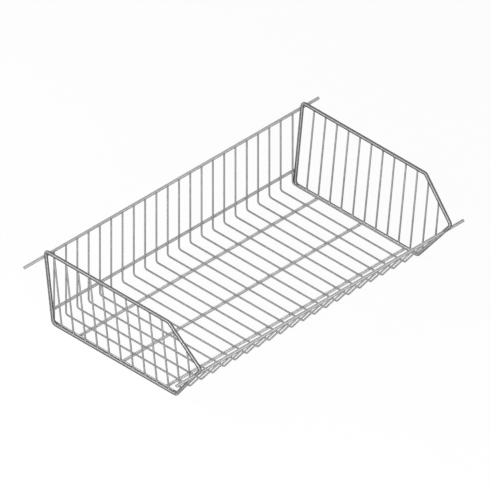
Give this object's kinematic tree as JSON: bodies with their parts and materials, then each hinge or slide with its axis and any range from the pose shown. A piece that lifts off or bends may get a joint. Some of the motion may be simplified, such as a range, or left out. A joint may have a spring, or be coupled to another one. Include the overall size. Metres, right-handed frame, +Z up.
{
  "type": "wire storage basket",
  "caption": "Welded wire shelf basket with a mesh floor and back, low slanted front lip, outward-leaning wire ends and rail ends that stick out so that it can hang in shop shelving.",
  "frame": {"origin": "middle of the basket's footprint, on the surface that its floor rails stand on", "axes": "+X along the basket's length to its right end as seen from the front, -Y towards the open front, +Z up"},
  "size_m": [0.665, 0.3524, 0.1587],
  "materials": {
    "frame_wire": "zinc plating on 6.2 mm drawn steel wire",
    "rail_wire": "zinc plating on 5.2 mm drawn steel wire",
    "mesh_wire": "zinc plating on 3 mm drawn steel wire"
  },
  "bodies": {
    "root": {"end_frame_left": "frame_wire", "end_frame_right": "frame_wire", "back_top_rail": "rail_wire", "back_lower_rail": "rail_wire", "front_rail": "rail_wire", "floor_rail_rear": "rail_wire", "floor_rail_middle": "rail_wire", "floor_rail_front": "rail_wire", "cross_wire_01": "mesh_wire", "cross_wire_02": "mesh_wire", "cross_wire_03": "mesh_wire", "cross_wire_04": "mesh_wire", "cross_wire_05": "mesh_wire", "cross_wire_06": "mesh_wire", "cross_wire_07": "mesh_wire", "cross_wire_08": "mesh_wire", "cross_wire_09": "mesh_wire", "cross_wire_10": "mesh_wire", "cross_wire_11": "mesh_wire", "cross_wire_12": "mesh_wire", "cross_wire_13": "mesh_wire", "cross_wire_14": "mesh_wire", "cross_wire_15": "mesh_wire", "cross_wire_16": "mesh_wire", "cross_wire_17": "mesh_wire", "cross_wire_18": "mesh_wire", "cross_wire_19": "mesh_wire", "cross_wire_20": "mesh_wire", "cross_wire_21": "mesh_wire", "cross_wire_22": "mesh_wire", "left_end_wire_01": "mesh_wire", "left_end_wire_02": "mesh_wire", "left_end_wire_03": "mesh_wire", "left_end_wire_04": "mesh_wire", "left_end_wire_05": "mesh_wire", "left_end_wire_06": "mesh_wire", "left_end_wire_07": "mesh_wire", "left_end_wire_08": "mesh_wire", "left_end_wire_09": "mesh_wire", "left_end_wire_10": "mesh_wire", "left_end_wire_11": "mesh_wire", "left_end_wire_12": "mesh_wire", "right_end_wire_01": "mesh_wire", "right_end_wire_02": "mesh_wire", "right_end_wire_03": "mesh_wire", "right_end_wire_04": "mesh_wire", "right_end_wire_05": "mesh_wire", "right_end_wire_06": "mesh_wire", "right_end_wire_07": "mesh_wire", "right_end_wire_08": "mesh_wire", "right_end_wire_09": "mesh_wire", "right_end_wire_10": "mesh_wire", "right_end_wire_11": "mesh_wire", "right_end_wire_12": "mesh_wire"}
  },
  "joints": []
}
